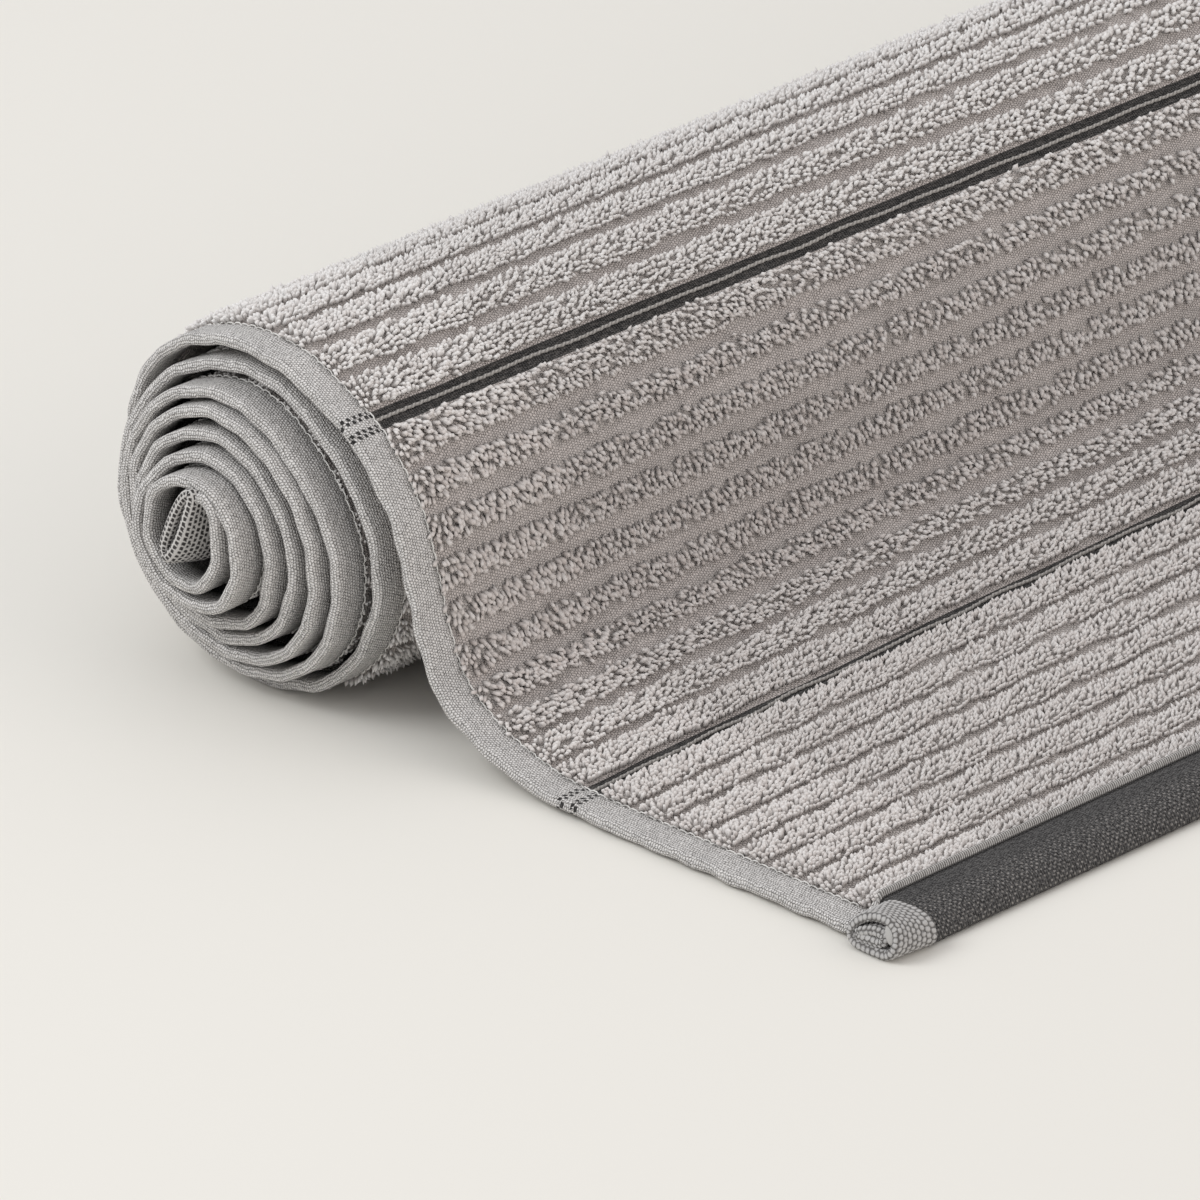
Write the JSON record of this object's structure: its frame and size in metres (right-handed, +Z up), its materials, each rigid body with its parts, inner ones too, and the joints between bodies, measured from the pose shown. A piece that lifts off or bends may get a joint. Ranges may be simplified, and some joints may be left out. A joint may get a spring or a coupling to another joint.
{
  "type": "rolled bath towel",
  "caption": "Ribbed terry bath towel wound into a tight roll, its last stretch hanging off the roll and lying flat to a dark end hem.",
  "frame": {"origin": "under the middle of the whole towel, on the surface that it lies on", "axes": "+X along the roll, away from the end whose turns stand out; +Z up; the loose end lies toward -Y"},
  "size_m": [0.7234, 0.2348, 0.0817],
  "materials": {
    "terry": "ribbed cotton loop pile in a light warm grey, with plain-woven side hems, dark woven double lines and a charcoal end hem"
  },
  "bodies": {
    "root": {"wound_roll": "terry", "loose_end": "terry"}
  },
  "joints": []
}
